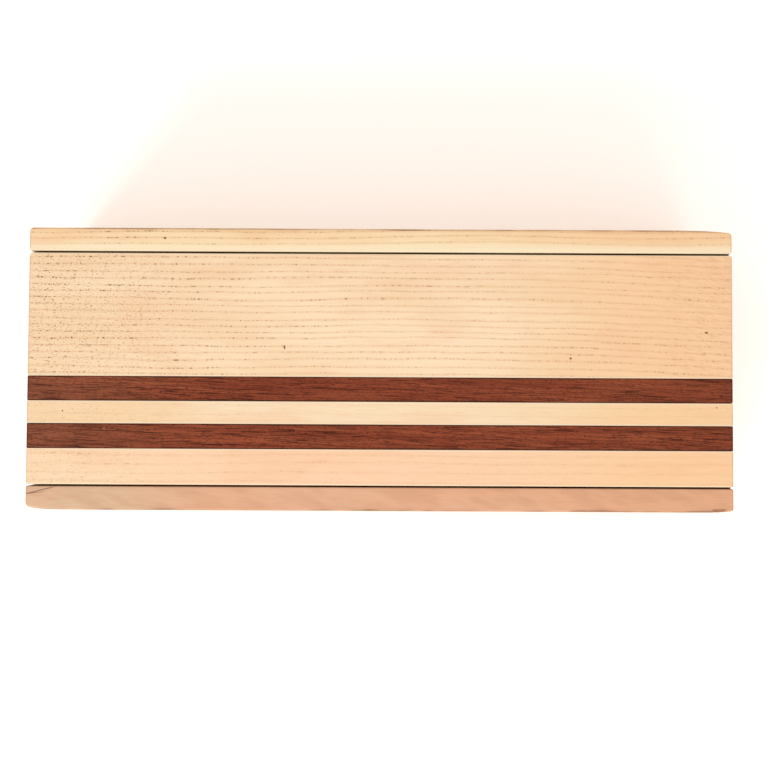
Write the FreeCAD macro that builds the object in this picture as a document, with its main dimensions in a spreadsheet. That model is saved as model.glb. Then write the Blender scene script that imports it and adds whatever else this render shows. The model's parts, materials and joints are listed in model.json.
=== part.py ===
import FreeCAD, Part
import os
import Sketcher
from FreeCAD import Placement, Rotation, Vector

# A long, low wooden puzzle box. A striped lid slides between two side walls. A loose end board carries
# a key that rises into the lid, and a loose pin runs from the lid into the front wall. Under the floor
# a hidden drawer pulls out of the right end.
# Frame: origin at the centre of the underside, +X along the length, +Y to the back, +Z up, millimetres.

doc = FreeCAD.newDocument("puzzle_box")

# ---------------------------------------------------------------- driving dimensions

SIZES = [
    # the whole box
    ("box_length", 280),
    ("box_depth", 112.4),
    ("box_height", 51),
    ("wall_thickness", 9.5),
    ("edge_ease", 0.8),
    # the lid and its strips; the wide strip takes what is left of the depth
    ("lid_thickness", 9.5),
    ("lid_gap", 0.6),
    ("lid_clearance", 0.3),
    ("back_walnut_width", 9.8),
    ("middle_maple_width", 9.0),
    ("front_walnut_width", 9.9),
    ("front_maple_width", 14.3),
    # the runners and the grooves that they slide in
    ("runner_thickness", 3.2),
    ("runner_in_lid", 6),
    ("runner_in_wall", 4),
    ("runner_face_clearance", 0.25),
    ("runner_end_clearance", 0.4),
    ("groove_stop", 16),
    # base, end walls and false floor
    ("base_thickness", 6.4),
    ("base_rabbet", 4.75),
    ("left_wall_thickness", 8),
    ("right_wall_thickness", 9.5),
    ("floor_thickness", 4),
    ("floor_dado", 2.5),
    ("felt_thickness", 1.2),
    ("felt_margin", 0.2),
    ("dowel_radius", 2.5),
    ("dowel_length", 24),
    # the loose end board, its key and its catches
    ("panel_thickness", 8),
    ("panel_travel", 5),
    ("panel_clearance", 0.3),
    ("floor_clearance", 0.5),
    ("rib_thickness", 3.2),
    ("rib_depth", 3.5),
    ("key_thickness", 3.2),
    ("key_length", 60),
    ("key_in_panel", 5),
    ("key_rise", 4.5),
    ("key_clearance", 0.4),
    ("stop_pin_radius", 2),
    ("stop_pin_in_wall", 4.3),
    ("stop_pin_reach", 3.6),
    ("stop_pin_offset", 37),
    ("stop_pin_to_dowel", 0.4),
    ("stop_slot_clearance", 0.2),
    ("magnet_radius", 4),
    ("magnet_thickness", 3),
    ("magnet_offset", 15),
    ("magnet_below_key", 8.2),
    # the loose pin in the lid
    ("pin_radius", 2),
    ("pin_length", 18),
    ("pin_travel", 4.5),
    ("pin_from_end", 11),
    ("pin_inset", 0.2),
    ("pin_bore_clearance", 0.1),
    ("pin_chamfer", 0.4),
    # the hidden drawer
    ("drawer_height", 15),
    ("drawer_length", 118),
    ("drawer_side_thickness", 5),
    ("drawer_bottom_thickness", 2.5),
    ("drawer_bottom_rise", 1.5),
    ("drawer_groove", 2.5),
    ("drawer_clearance", 0.3),
    ("stop_block_length", 10),
    ("stop_block_width", 40),
    # how far a cutter passes an open face
    ("overrun", 1),
]

sizes = doc.addObject("Spreadsheet::Sheet", "sizes")
for row, (alias, number) in enumerate(SIZES, start=1):
    sizes.set(f"A{row}", alias.replace("_", " "))
    sizes.set(f"B{row}", str(number))
    sizes.setAlias(f"B{row}", alias)
doc.recompute()

CELLS = {alias for alias, number in SIZES}
PLACES = {}


def worked_out(text):
    """An expression on the sheet, from words that name its cells or the places below."""
    words = []
    for word in text.split():
        if word in CELLS:
            words.append("sizes." + word)
        elif word in PLACES:
            words.append(f"({PLACES[word]})")
        else:
            words.append(word)
    return " ".join(words)


# Planes, edges and levels that several pieces share, each worked out from the sheet.
for place, text in (
    ("left_end", "0 - box_length / 2"),
    ("right_end", "box_length / 2"),
    ("outer_face", "box_depth / 2"),
    ("inner_face", "outer_face - wall_thickness"),
    ("lid_edge", "inner_face - lid_gap"),
    ("lid_bottom", "box_height - lid_thickness"),
    ("walls_top", "lid_bottom - lid_clearance"),
    ("front_maple_glue", "front_maple_width - lid_edge"),
    ("front_walnut_glue", "front_maple_glue + front_walnut_width"),
    ("middle_maple_glue", "front_walnut_glue + middle_maple_width"),
    ("back_walnut_glue", "middle_maple_glue + back_walnut_width"),
    ("runner_bottom", "lid_bottom + ( lid_thickness - runner_thickness ) / 2"),
    ("runner_top", "runner_bottom + runner_thickness"),
    ("groove_bottom", "runner_bottom - runner_face_clearance"),
    ("groove_top", "runner_top + runner_face_clearance"),
    ("left_wall_outer", "left_end + panel_thickness + panel_clearance"),
    ("left_wall_inner", "left_wall_outer + left_wall_thickness"),
    ("left_wall_middle", "left_wall_outer + left_wall_thickness / 2"),
    ("right_wall_inner", "right_end - right_wall_thickness"),
    ("right_wall_middle", "right_end - right_wall_thickness / 2"),
    ("panel_inner", "left_end + panel_thickness"),
    ("panel_middle", "left_end + panel_thickness / 2"),
    ("panel_edge", "inner_face - panel_clearance"),
    ("panel_top", "walls_top - panel_travel"),
    ("rib_outer", "panel_middle - rib_thickness / 2"),
    ("rib_inner", "panel_middle + rib_thickness / 2"),
    ("rib_reach", "inner_face + rib_depth"),
    ("key_outer", "panel_middle - key_thickness / 2"),
    ("key_inner", "panel_middle + key_thickness / 2"),
    ("slot_depth", "stop_pin_reach + stop_slot_clearance"),
    ("pin_line", "left_end + pin_from_end"),
    ("pin_height", "lid_bottom + lid_thickness / 2"),
    ("pin_bore_radius", "pin_radius + pin_bore_clearance"),
    ("socket_bottom", "lid_edge - pin_inset + pin_travel + stop_slot_clearance"),
    ("drawer_edge", "base_thickness + drawer_clearance"),
    ("drawer_top", "drawer_edge + drawer_height"),
    ("floor_bottom", "drawer_top + drawer_clearance"),
    ("floor_top", "floor_bottom + floor_thickness"),
    ("drawer_front_inner", "right_wall_inner + drawer_clearance"),
    ("drawer_back_outer", "drawer_front_inner - drawer_length"),
    ("drawer_side_outer", "inner_face - drawer_clearance"),
    ("drawer_side_inner", "drawer_side_outer - drawer_side_thickness"),
    ("ply_bottom", "drawer_edge + drawer_bottom_rise"),
    ("ply_top", "ply_bottom + drawer_bottom_thickness"),
    ("stop_face", "drawer_back_outer - drawer_clearance"),
    ("left_dowel_low", "base_thickness + ( walls_top - base_thickness ) / 4"),
    ("left_dowel_high", "base_thickness + ( walls_top - base_thickness ) * 3 / 4"),
    ("right_dowel_low", "floor_bottom + ( walls_top - floor_bottom ) / 4"),
    ("right_dowel_high", "floor_bottom + ( walls_top - floor_bottom ) * 3 / 4"),
    ("stop_pin_height", "left_dowel_low + dowel_radius + stop_pin_to_dowel + stop_pin_radius"),
    ("magnet_height", "walls_top - key_in_panel - magnet_below_key - magnet_radius"),
):
    PLACES[place] = worked_out(text)

TOUCH = 0.01  # two planes nearer than this are the same
ALONG_X = Rotation(Vector(0, 0, 1), Vector(1, 0, 0))
ALONG_Y = Rotation(Vector(0, 0, 1), Vector(0, 1, 0))

# ---------------------------------------------------------------- how a piece is made

nodes = []


def bind(thing, **formulas):
    """Ties properties of an object to formulas on the sheet."""
    for name, text in formulas.items():
        thing.setExpression(name, worked_out(text))


def put(thing, x, y, z):
    """Ties an object's place to formulas on the sheet."""
    for axis, text in zip("xyz", (x, y, z)):
        thing.setExpression("Placement.Base." + axis, worked_out(text))


def block(kind, name, x, y, z, body=None):
    """A box from the low and high plane on each axis, free or as a feature of a body."""
    box = body.newObject(kind, name) if body else doc.addObject(kind, name)
    for side, (low, high) in zip(("Length", "Width", "Height"), (x, y, z)):
        bind(box, **{side: f"{high} - ( {low} )"})
    put(box, x[0], y[0], z[0])
    return box


def rod(kind, name, start, turn, radius, length, body=None):
    """A cylinder from its start point, free or as a feature of a body."""
    cylinder = body.newObject(kind, name) if body else doc.addObject(kind, name)
    cylinder.Placement = Placement(Vector(), turn)
    bind(cylinder, Radius=radius, Height=length)
    put(cylinder, *start)
    return cylinder


def keep(piece, label):
    """Makes an object a node of the part."""
    piece.Label = label
    nodes.append(piece)
    return piece


def board(label, x, y, z):
    """A board whose joints are cut afterwards."""
    body = doc.addObject("PartDesign::Body", label)
    block("PartDesign::AdditiveBox", label + "_blank", x, y, z, body)
    return keep(body, label)


def rout(body, name, x, y, z):
    """A box-shaped groove, rabbet, dado or mortise in a board."""
    return block("PartDesign::SubtractiveBox", f"{body.Label}_{name}", x, y, z, body)


def drill(body, name, start, turn, radius, length):
    """A round hole in a board."""
    kind = "PartDesign::SubtractiveCylinder"
    return rod(kind, f"{body.Label}_{name}", start, turn, radius, length, body)


def edges_of(feature, chosen):
    """The names of a feature's edges that the test chooses."""
    edges = enumerate(feature.Shape.Edges, start=1)
    return [f"Edge{number}" for number, edge in edges if chosen(edge)]


def group(label, pieces):
    """Identical pieces as one node of separate solids."""
    bunch = doc.addObject("Part::Compound", label)
    bunch.Links = pieces
    return keep(bunch, label)


def minus(text):
    return f"0 - ( {text} )"


def both_sides(text):
    """The low and high plane of a piece that is centred on the box's middle line."""
    return (minus(text), text)


def outline(body, name, corners, height):
    """A closed sketch in plan, at a height, each corner held by two distances from the origin."""
    sketch = body.newObject("Sketcher::SketchObject", name)
    plane = next(item for item in body.Origin.OriginFeatures if item.Role == "XY_Plane")
    sketch.AttachmentSupport = [(plane, "")]
    sketch.MapMode = "FlatFace"
    sketch.setExpression("AttachmentOffset.Base.z", worked_out(height))
    points = [[sizes.evalExpression(worked_out(text)) for text in corner] for corner in corners]
    count = len(corners)
    for number, (x, y) in enumerate(points):
        x_next, y_next = points[(number + 1) % count]
        sketch.addGeometry(Part.LineSegment(Vector(x, y, 0), Vector(x_next, y_next, 0)), False)
    for number in range(count):
        following = (number + 1) % count
        sketch.addConstraint(Sketcher.Constraint("Coincident", number, 2, following, 1))
    for number, corner in enumerate(corners):
        for way, at, text in zip(("DistanceX", "DistanceY"), points[number], corner):
            held = sketch.addConstraint(Sketcher.Constraint(way, -1, 1, number, 1, at))
            sketch.setExpression(f"Constraints[{held}]", worked_out(text))
    return sketch


# ---------------------------------------------------------------- the two side walls

# Dowels tie each end wall to the side walls, at a quarter and three quarters of its height.
DOWELS = [
    ("left_wall_middle", "left_dowel_low"),
    ("left_wall_middle", "left_dowel_high"),
    ("right_wall_middle", "right_dowel_low"),
    ("right_wall_middle", "right_dowel_high"),
]


def side_wall(label, side):
    """A long wall. side is -1 for the front and 1 for the back."""

    def across(near, far):
        """The low and high plane between two distances from the middle, on this wall's side."""
        return (near, far) if side > 0 else (minus(far), minus(near))

    lip = "inner_face - overrun"
    wall = board(label, ("left_end", "right_end"), across("inner_face", "outer_face"), ("0", "box_height"))
    rout(
        wall,
        "runner_groove",
        ("left_end + groove_stop", "right_end + overrun"),
        across(lip, "inner_face + runner_in_wall + runner_end_clearance"),
        ("groove_bottom", "groove_top"),
    )
    rout(
        wall,
        "base_rabbet",
        ("left_wall_outer", "right_wall_inner"),
        across(lip, "inner_face + base_rabbet"),
        (minus("overrun"), "base_thickness"),
    )
    rout(
        wall,
        "floor_dado",
        ("left_wall_inner", "right_wall_inner"),
        across(lip, "inner_face + floor_dado"),
        ("floor_bottom", "floor_top"),
    )
    rout(
        wall,
        "panel_groove",
        ("rib_outer - panel_clearance", "rib_inner + panel_clearance"),
        across(lip, "rib_reach + panel_clearance"),
        (minus("overrun"), "lid_bottom"),
    )
    for number, (line, height) in enumerate(DOWELS, start=1):
        start = (line, across(lip, "outer_face + overrun")[0], height)
        depth = "wall_thickness + 2 * overrun"
        drill(wall, f"dowel_hole_{number}", start, ALONG_Y, "dowel_radius", depth)
    if side < 0:
        start = ("pin_line", minus("socket_bottom"), "pin_height")
        drill(wall, "pin_socket", start, ALONG_Y, "pin_bore_radius", "socket_bottom - inner_face + overrun")

    doc.recompute()
    outer = side * sizes.box_depth / 2
    joined = wall.Tip
    eased = wall.newObject("PartDesign::Fillet", label + "_eased")
    eased.Base = (joined, edges_of(joined, lambda edge: on_outer_rim(edge, outer)))
    bind(eased, Radius="edge_ease")
    return wall


def on_outer_rim(edge, outer):
    """Whether an edge is one of the four straight ones around a side wall's outer face."""
    box = edge.BoundBox
    flat = abs(box.YMin - outer) < TOUCH and abs(box.YMax - outer) < TOUCH
    return flat and isinstance(edge.Curve, Part.Line)


side_wall("front_wall", -1)
side_wall("back_wall", 1)

# ---------------------------------------------------------------- base, end walls and floor

board(
    "base_board",
    ("left_wall_outer", "right_wall_inner"),
    both_sides("inner_face + base_rabbet"),
    ("0", "base_thickness"),
)
left_wall = board(
    "left_end_wall",
    ("left_wall_outer", "left_wall_inner"),
    both_sides("inner_face"),
    ("base_thickness", "walls_top"),
)
right_wall = board(
    "right_end_wall",
    ("right_wall_inner", "right_end"),
    both_sides("inner_face"),
    ("floor_bottom", "walls_top"),
)
board(
    "false_floor",
    ("left_wall_inner", "right_wall_inner"),
    both_sides("inner_face + floor_dado"),
    ("floor_bottom", "floor_top"),
)
board(
    "felt_lining",
    ("left_wall_inner + felt_margin", "right_wall_inner - felt_margin"),
    both_sides("inner_face - felt_margin"),
    ("floor_top", "floor_top + felt_thickness"),
)

for label, low in (
    ("front_dowels", minus("outer_face")),
    ("back_dowels", "outer_face - dowel_length"),
):
    pegs = []
    for number, (line, height) in enumerate(DOWELS, start=1):
        end_wall = left_wall if line == "left_wall_middle" else right_wall
        start = (line, low, height)
        drill(end_wall, f"{label}_hole_{number}", start, ALONG_Y, "dowel_radius", "dowel_length")
        pegs.append(
            rod("Part::Cylinder", f"{label}_{number}", start, ALONG_Y, "dowel_radius", "dowel_length")
        )
    group(label, pegs)

# ---------------------------------------------------------------- the lid

mortise = block(
    "Part::Box",
    "key_mortise",
    ("key_outer - key_clearance", "key_inner + key_clearance"),
    both_sides("key_length / 2 + key_clearance"),
    ("lid_bottom - overrun", "walls_top + key_rise + key_clearance"),
)
pin_bore = rod(
    "Part::Cylinder",
    "pin_bore",
    ("pin_line", minus("lid_edge + overrun"), "pin_height"),
    ALONG_Y,
    "pin_bore_radius",
    "overrun + front_maple_width + front_walnut_width",
)
runner_ends = ("left_end + groove_stop + runner_end_clearance", "right_end")
runner_faces = ("runner_bottom", "runner_top")
back_runner = block(
    "Part::Box",
    "lid_back_runner",
    runner_ends,
    ("lid_edge - runner_in_lid", "inner_face + runner_in_wall"),
    runner_faces,
)
front_runner = block(
    "Part::Box",
    "lid_front_runner",
    runner_ends,
    (minus("inner_face + runner_in_wall"), minus("lid_edge - runner_in_lid")),
    runner_faces,
)
keep(back_runner, "lid_back_runner")
keep(front_runner, "lid_front_runner")

# The strips from front to back, each with its front and back edge and what is cut from it.
for label, front, back, cutters in (
    ("lid_front_maple", minus("lid_edge"), "front_maple_glue", (mortise, pin_bore, front_runner)),
    ("lid_front_walnut", "front_maple_glue", "front_walnut_glue", (mortise, pin_bore)),
    ("lid_middle_maple", "front_walnut_glue", "middle_maple_glue", (mortise,)),
    ("lid_back_walnut", "middle_maple_glue", "back_walnut_glue", (mortise,)),
    ("lid_wide_maple", "back_walnut_glue", "lid_edge", (mortise, back_runner)),
):
    strip = block(
        "Part::Box",
        label + "_blank",
        ("left_end", "right_end"),
        (front, back),
        ("lid_bottom", "box_height"),
    )
    for number, cutter in enumerate(cutters, start=1):
        routed = doc.addObject("Part::Cut", f"{label}_{number}")
        routed.Base = strip
        routed.Tool = cutter
        strip = routed
    keep(strip, label)

# ---------------------------------------------------------------- the loose pin in the lid

tilt_pin = keep(doc.addObject("PartDesign::Body", "tilt_pin"), "tilt_pin")
shank = rod(
    "PartDesign::AdditiveCylinder",
    "tilt_pin_shank",
    ("pin_line", minus("lid_edge - pin_inset"), "pin_height"),
    ALONG_Y,
    "pin_radius",
    "pin_length",
    tilt_pin,
)
doc.recompute()
noses = tilt_pin.newObject("PartDesign::Chamfer", "tilt_pin_noses")
noses.Base = (shank, edges_of(shank, lambda edge: isinstance(edge.Curve, Part.Circle)))
bind(noses, Size="pin_chamfer")

# ---------------------------------------------------------------- the loose end board and its catches

key_panel = keep(doc.addObject("PartDesign::Body", "key_panel"), "key_panel")
right_half = [
    ("rib_outer", "panel_edge"),
    ("rib_outer", "rib_reach"),
    ("rib_inner", "rib_reach"),
    ("rib_inner", "panel_edge"),
    ("panel_inner", "panel_edge"),
]
plan = outline(
    key_panel,
    "key_panel_plan",
    [("left_end", "panel_edge")]
    + right_half
    + [(x, minus(y)) for x, y in reversed(right_half)]
    + [("left_end", minus("panel_edge"))],
    "floor_clearance",
)
slab = key_panel.newObject("PartDesign::Pad", "key_panel_slab")
slab.Profile = plan
bind(slab, Length="panel_top - floor_clearance")
rout(
    key_panel,
    "key_groove",
    ("key_outer", "key_inner"),
    both_sides("key_length / 2"),
    ("panel_top - key_in_panel", "panel_top + overrun"),
)
keep(
    block(
        "Part::Box",
        "panel_key",
        ("key_outer", "key_inner"),
        both_sides("key_length / 2"),
        ("panel_top - key_in_panel", "panel_top + key_rise"),
    ),
    "panel_key",
)

stop_pins = []
wall_magnets = []
panel_magnets = []
for number, side in enumerate(("0 -", "0 +"), start=1):
    pin_side = f"{side} stop_pin_offset"
    magnet_side = f"{side} magnet_offset"
    slot = "stop_pin_radius + stop_slot_clearance"
    rout(
        key_panel,
        f"stop_slot_{number}",
        ("panel_inner - slot_depth", "panel_inner + overrun"),
        (f"{pin_side} - ( {slot} )", f"{pin_side} + {slot}"),
        (f"stop_pin_height - panel_travel - ( {slot} )", f"stop_pin_height + {slot}"),
    )
    pin_length = "stop_pin_in_wall + panel_clearance + stop_pin_reach"
    start = ("panel_inner - stop_pin_reach", pin_side, "stop_pin_height")
    drill(left_wall, f"stop_hole_{number}", start, ALONG_X, "stop_pin_radius", pin_length)
    name = f"panel_stop_pin_{number}"
    stop_pins.append(rod("Part::Cylinder", name, start, ALONG_X, "stop_pin_radius", pin_length))

    start = ("left_wall_outer", magnet_side, "magnet_height")
    disc = (ALONG_X, "magnet_radius", "magnet_thickness")
    drill(left_wall, f"magnet_hole_{number}", start, *disc)
    wall_magnets.append(rod("Part::Cylinder", f"wall_magnet_{number}", start, *disc))
    start = ("panel_inner - magnet_thickness", magnet_side, "magnet_height - panel_travel")
    drill(key_panel, f"magnet_hole_{number}", start, *disc)
    panel_magnets.append(rod("Part::Cylinder", f"panel_magnet_{number}", start, *disc))
group("panel_stop_pins", stop_pins)
group("wall_magnets", wall_magnets)
group("panel_magnets", panel_magnets)

# ---------------------------------------------------------------- the hidden drawer

drawer_front = board(
    "drawer_front",
    ("drawer_front_inner", "right_end"),
    both_sides("drawer_side_outer"),
    ("floor_clearance", "drawer_top"),
)
rout(
    drawer_front,
    "bottom_groove",
    ("drawer_front_inner - overrun", "drawer_front_inner + drawer_groove"),
    both_sides("drawer_side_inner + drawer_groove"),
    ("ply_bottom", "ply_top"),
)
for label, side in (("drawer_left_side", -1), ("drawer_right_side", 1)):
    faces = ("drawer_side_inner", "drawer_side_outer")
    groove = ("drawer_side_inner - overrun", "drawer_side_inner + drawer_groove")
    if side < 0:
        faces = (minus(faces[1]), minus(faces[0]))
        groove = (minus(groove[1]), minus(groove[0]))
    drawer_side = board(
        label,
        ("drawer_back_outer", "drawer_front_inner"),
        faces,
        ("drawer_edge", "drawer_top"),
    )
    rout(
        drawer_side,
        "bottom_groove",
        ("drawer_back_outer - overrun", "drawer_front_inner + overrun"),
        groove,
        ("ply_bottom", "ply_top"),
    )
drawer_back = board(
    "drawer_back",
    ("drawer_back_outer", "drawer_back_outer + drawer_side_thickness"),
    both_sides("drawer_side_inner"),
    ("ply_top", "drawer_top"),
)
board(
    "drawer_bottom",
    ("drawer_back_outer", "drawer_front_inner + drawer_groove"),
    both_sides("drawer_side_inner + drawer_groove"),
    ("ply_bottom", "ply_top"),
)
drawer_stop = board(
    "drawer_stop",
    ("stop_face - stop_block_length", "stop_face"),
    both_sides("stop_block_width / 2"),
    ("base_thickness", "floor_bottom"),
)

magnet_level = "( ply_top + drawer_top ) / 2"
for label, holder, face in (
    ("drawer_magnet", drawer_back, "drawer_back_outer"),
    ("stop_magnet", drawer_stop, "stop_face - magnet_thickness"),
):
    disc = ((face, "0", magnet_level), ALONG_X, "magnet_radius", "magnet_thickness")
    drill(holder, "magnet_hole", *disc)
    keep(rod("Part::Cylinder", label, *disc), label)

# ---------------------------------------------------------------- check and write

doc.recompute()
for thing in doc.Objects:
    if "Invalid" in thing.State or "Error" in thing.State:
        raise RuntimeError(f"{thing.Name} did not compute: {thing.State}")
os.makedirs("parts", exist_ok=True)
for piece in nodes:
    if piece.Shape.isNull() or not piece.Shape.isValid():
        raise RuntimeError(f"{piece.Label} is not a sound shape")
    piece.Shape.exportStep(f"parts/{piece.Label}.step")
    box = piece.Shape.BoundBox
    size = " x ".join(f"{side:.2f}" for side in (box.XLength, box.YLength, box.ZLength))
    print(f"{piece.Label}: {size} mm, {len(piece.Shape.Solids)} solid(s)")
print(f"{len(nodes)} nodes")
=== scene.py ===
# %% [markdown]
# # A puzzle box of maple and walnut
# The real box is a long, low case of sanded maple. Two side walls run its whole length, and between them
# slides a lid that was glued up from five strips, three pale and two dark. The hidden pieces matter too:
# a loose end board with a key, a steel pin inside the lid and a secret drawer under the floor.
# This notebook dresses the engineering model in real surfaces. It never moves a piece, so the joints
# still work.

import json
import math

import bmesh
import bpy
import numpy as np
from mathutils import Matrix, Vector, noise


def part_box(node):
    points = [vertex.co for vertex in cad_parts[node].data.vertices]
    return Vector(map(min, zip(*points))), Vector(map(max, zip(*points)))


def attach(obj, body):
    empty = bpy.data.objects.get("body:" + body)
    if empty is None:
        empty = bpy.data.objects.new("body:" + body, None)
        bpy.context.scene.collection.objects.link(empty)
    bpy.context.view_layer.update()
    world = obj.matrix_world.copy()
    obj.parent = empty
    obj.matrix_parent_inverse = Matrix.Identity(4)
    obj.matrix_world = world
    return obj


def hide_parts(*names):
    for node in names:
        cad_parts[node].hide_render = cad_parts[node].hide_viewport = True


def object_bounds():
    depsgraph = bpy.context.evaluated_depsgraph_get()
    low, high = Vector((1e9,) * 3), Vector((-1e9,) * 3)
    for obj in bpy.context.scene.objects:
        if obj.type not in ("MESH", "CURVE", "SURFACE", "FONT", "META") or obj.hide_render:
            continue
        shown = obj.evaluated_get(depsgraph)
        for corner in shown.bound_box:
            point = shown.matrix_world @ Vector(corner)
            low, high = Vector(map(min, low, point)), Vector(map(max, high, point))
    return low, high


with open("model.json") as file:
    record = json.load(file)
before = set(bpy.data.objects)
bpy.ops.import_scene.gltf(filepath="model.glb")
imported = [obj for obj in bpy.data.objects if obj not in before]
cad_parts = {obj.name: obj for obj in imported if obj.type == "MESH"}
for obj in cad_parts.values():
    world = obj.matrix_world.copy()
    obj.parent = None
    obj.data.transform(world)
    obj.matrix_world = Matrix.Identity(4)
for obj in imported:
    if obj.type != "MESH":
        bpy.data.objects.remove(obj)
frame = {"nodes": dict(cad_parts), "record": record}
cad_low, cad_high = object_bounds()
MM = 0.001
print("The case is", [round(side / MM, 1) for side in Vector(cad_high) - Vector(cad_low)], "mm")

# %% [markdown]
# ## The camera
# The box is looked at from straight above, from about an arm's length. The camera hangs almost plumb: it
# leans by two degrees and is rolled by a quarter of one, as when somebody holds it by hand. Its axes
# come from those two angles by cross products, which are easier to picture than three Euler angles, and
# its field of view from how wide a stretch of the lid should fit.

# %% Hang the camera above the lid
LEAN = math.radians(1.9)  # towards the back wall
ROLL = math.radians(0.28)
CAMERA_RISE = 0.375  # above the lid's face
VIEW_WIDTH = 0.3046  # how wide a stretch is seen at the height of the lid's face
AIM = Vector((0.0016, -0.0058, cad_high[2]))


def add_object(name, data):
    thing = bpy.data.objects.new(name, data)
    bpy.context.scene.collection.objects.link(thing)
    return thing


look = Vector((0, math.sin(LEAN), -math.cos(LEAN)))
right = Vector((math.cos(ROLL), math.sin(ROLL), 0))
up = right.cross(look).normalized()
camera_data = bpy.data.cameras.new("overhead")
camera_data.angle = 2 * math.atan(VIEW_WIDTH / 2 / CAMERA_RISE)
camera_data.clip_start = 0.01
camera = add_object("overhead", camera_data)
turn = Matrix((right, up, -look)).transposed().to_4x4()
camera.matrix_world = Matrix.Translation(AIM - look * CAMERA_RISE) @ turn
bpy.context.scene.camera = camera
print("The lens is", round(camera_data.lens, 1), "mm")

# %% [markdown]
# ## Floor and light
# The box lies on white paper beside a wide, low window. A window as wide as it is far away throws a
# shadow that narrows as it leaves the box, which a small lamp would not do. One pane at its left end
# catches more light than the rest, and gives the shadow a clean slanting edge on that side. Most of the
# light comes from a bright warm room, so the shadow stays pale. Together they are a bit brighter than
# white paper can show, as on a sunny windowsill. The Standard view transform adds no contrast of its
# own, and the finishes allow for DAYLIGHT, so each shows in the very colour it was mixed in.

# %% Lay the paper and hang the lights
PAPER_SIZE = 3.0
WINDOWS = (  # name, size, place, power in watts
    ("window", (1.6, 0.35), Vector((-0.10, -1.12, 0.60)), 9.0),
    ("bright_pane", (0.24, 0.24), Vector((-0.85, -0.92, 0.62)), 5.0),
)
WINDOW_COLOUR = (0.93, 0.98, 1.0)
ROOM_STRENGTH = 1.16
ROOM_COLOUR = (1.05, 0.975, 0.92, 1)
DAYLIGHT = (1.51, 1.44, 1.38)  # how many times brighter than full white a white card on the lid would be

bpy.ops.mesh.primitive_plane_add(size=PAPER_SIZE)
paper = bpy.context.object
paper.name = "paper"

for name, size, place, power in WINDOWS:
    light = bpy.data.lights.new(name, "AREA")
    light.shape = "RECTANGLE"
    light.size, light.size_y = size
    light.energy = power
    light.color = WINDOW_COLOUR
    window = add_object(name, light)
    window.location = place
    window.rotation_euler = (-place).to_track_quat("-Z", "Y").to_euler()
    print("Hung the", name, "of", power, "W")

room = bpy.data.worlds.new("room")
room.use_nodes = True
background = room.node_tree.nodes["Background"]
background.inputs["Color"].default_value = ROOM_COLOUR
background.inputs["Strength"].default_value = ROOM_STRENGTH
bpy.context.scene.world = room
bpy.context.scene.view_settings.view_transform = "Standard"

# %% [markdown]
# ## A workbench for finishes
# Every finish is worked out by shader nodes from a point's place in the wood, in millimetres. A few
# short helpers keep the recipes readable: each returns a socket that the next one can take. A recipe
# is a formula in space, so it runs right through the board, and the end grain and grooves match the faces.

# %% Helpers that mix a finish


def tone(red, green, blue):
    """The surface colour that shows as these 0 to 255 display values in this daylight."""
    shares = [level / 255 for level in (red, green, blue)]
    light = [s / 12.92 if s <= 0.04045 else ((s + 0.055) / 1.055) ** 2.4 for s in shares]
    return (*(share / daylight for share, daylight in zip(light, DAYLIGHT)), 1.0)


def own_number(name, turns, stride):
    """A number that belongs to this name, so that no two boards share a pattern."""
    return sum(ord(letter) for letter in name) % turns * stride


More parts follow.
